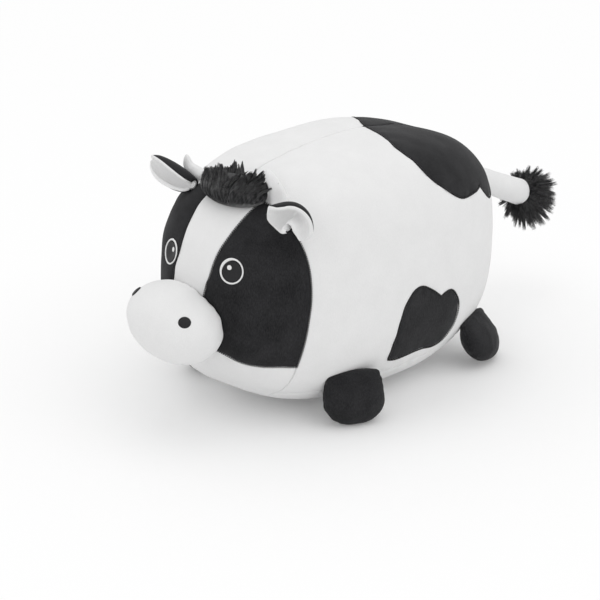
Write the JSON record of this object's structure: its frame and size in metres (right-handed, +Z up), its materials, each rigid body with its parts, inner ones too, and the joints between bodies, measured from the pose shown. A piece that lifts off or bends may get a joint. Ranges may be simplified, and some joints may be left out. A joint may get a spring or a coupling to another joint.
{
  "type": "plush cow",
  "caption": "Stuffed toy cow with an egg-shaped plush body, sewn-on muzzle, horns, ears, feet and tufted tail; its ears, feet and tail bend at their seams.",
  "frame": {"origin": "on the floor, in the middle of the small flat under the belly that the toy rests on", "axes": "+Z up, the nose points to -Y, the tail to +Y, and the toy's left is +X"},
  "size_m": [0.2448, 0.6079, 0.2552],
  "materials": {
    "white_plush": "short white plush pile, matt",
    "black_plush": "short black plush pile, matt",
    "black_fur": "long black pile, slightly shiny",
    "white_thread": "white embroidery thread, satin",
    "dark_thread": "dark grey embroidery thread, satin",
    "black_thread": "black embroidery thread, satin",
    "fibre_fill": "loose white polyester fibre, matt"
  },
  "bodies": {
    "body": {"body_stuffing": "fibre_fill", "left_side_panel": "white_plush", "right_side_panel": "white_plush", "face_panel": "white_plush", "belly_panel": "white_plush", "muzzle_cover": "white_plush", "left_cheek_patch": "black_plush", "left_flank_patch": "black_plush", "left_back_patch": "black_plush", "left_nostril": "black_thread", "left_eye_ring": "white_thread", "left_eye_pupil": "dark_thread", "left_eye_glint": "white_thread", "left_horn_cover": "white_plush", "left_horn_stuffing": "fibre_fill", "right_cheek_patch": "black_plush", "right_flank_patch": "black_plush", "right_back_patch": "black_plush", "right_nostril": "black_thread", "right_eye_ring": "white_thread", "right_eye_pupil": "dark_thread", "right_eye_glint": "white_thread", "right_horn_cover": "white_plush", "right_horn_stuffing": "fibre_fill", "muzzle_stuffing": "fibre_fill", "forelock": "black_fur"},
    "left_ear": {"left_ear_lining": "white_plush", "left_ear_back": "black_plush"},
    "left_front_foot": {"left_front_foot_outer_panel": "black_plush", "left_front_foot_inner_panel": "black_plush", "left_front_foot_stuffing": "fibre_fill"},
    "left_rear_foot": {"left_rear_foot_outer_panel": "black_plush", "left_rear_foot_inner_panel": "black_plush", "left_rear_foot_stuffing": "fibre_fill"},
    "right_ear": {"right_ear_lining": "white_plush", "right_ear_back": "black_plush"},
    "right_front_foot": {"right_front_foot_outer_panel": "black_plush", "right_front_foot_inner_panel": "black_plush", "right_front_foot_stuffing": "fibre_fill"},
    "right_rear_foot": {"right_rear_foot_outer_panel": "black_plush", "right_rear_foot_inner_panel": "black_plush", "right_rear_foot_stuffing": "fibre_fill"},
    "tail": {"tail_cover": "white_plush", "tail_stuffing": "fibre_fill", "tail_tuft": "black_fur"}
  },
  "joints": [
    {"name": "left_ear_flop", "type": "hinge", "parent": "body", "child": "left_ear", "pos_m": [0.05948, -0.14992, 0.21399], "axis": [0, 1, 0], "range_deg": [-20, 10], "stiffness_Nm_per_rad": 0.03},
    {"name": "left_front_foot_fold", "type": "hinge", "parent": "body", "child": "left_front_foot", "pos_m": [0.10172, -0.08591, 0.04382], "axis": [-0.4226, -0.9063, 0], "range_deg": [0, 30], "stiffness_Nm_per_rad": 0.05, "springref_deg": -5.73},
    {"name": "left_rear_foot_fold", "type": "hinge", "parent": "body", "child": "left_rear_foot", "pos_m": [0.09245, 0.10963, 0.04357], "axis": [0.342, -0.9397, 0], "range_deg": [0, 30], "stiffness_Nm_per_rad": 0.05, "springref_deg": -5.73},
    {"name": "right_ear_flop", "type": "hinge", "parent": "body", "child": "right_ear", "pos_m": [-0.05209, -0.14374, 0.22172], "axis": [0, -1, 0], "range_deg": [-20, 10], "stiffness_Nm_per_rad": 0.03},
    {"name": "right_front_foot_fold", "type": "hinge", "parent": "body", "child": "right_front_foot", "pos_m": [-0.10172, -0.08591, 0.04382], "axis": [-0.4226, 0.9063, 0], "range_deg": [0, 30], "stiffness_Nm_per_rad": 0.05, "springref_deg": -5.73},
    {"name": "right_rear_foot_fold", "type": "hinge", "parent": "body", "child": "right_rear_foot", "pos_m": [-0.09245, 0.10963, 0.04357], "axis": [0.342, 0.9397, 0], "range_deg": [0, 30], "stiffness_Nm_per_rad": 0.05, "springref_deg": -5.73},
    {"name": "tail_swing", "type": "hinge", "parent": "body", "child": "tail", "pos_m": [0, 0.19179, 0.16725], "axis": [0, 0, 1], "range_deg": [-25, 25], "stiffness_Nm_per_rad": 0.15}
  ]
}
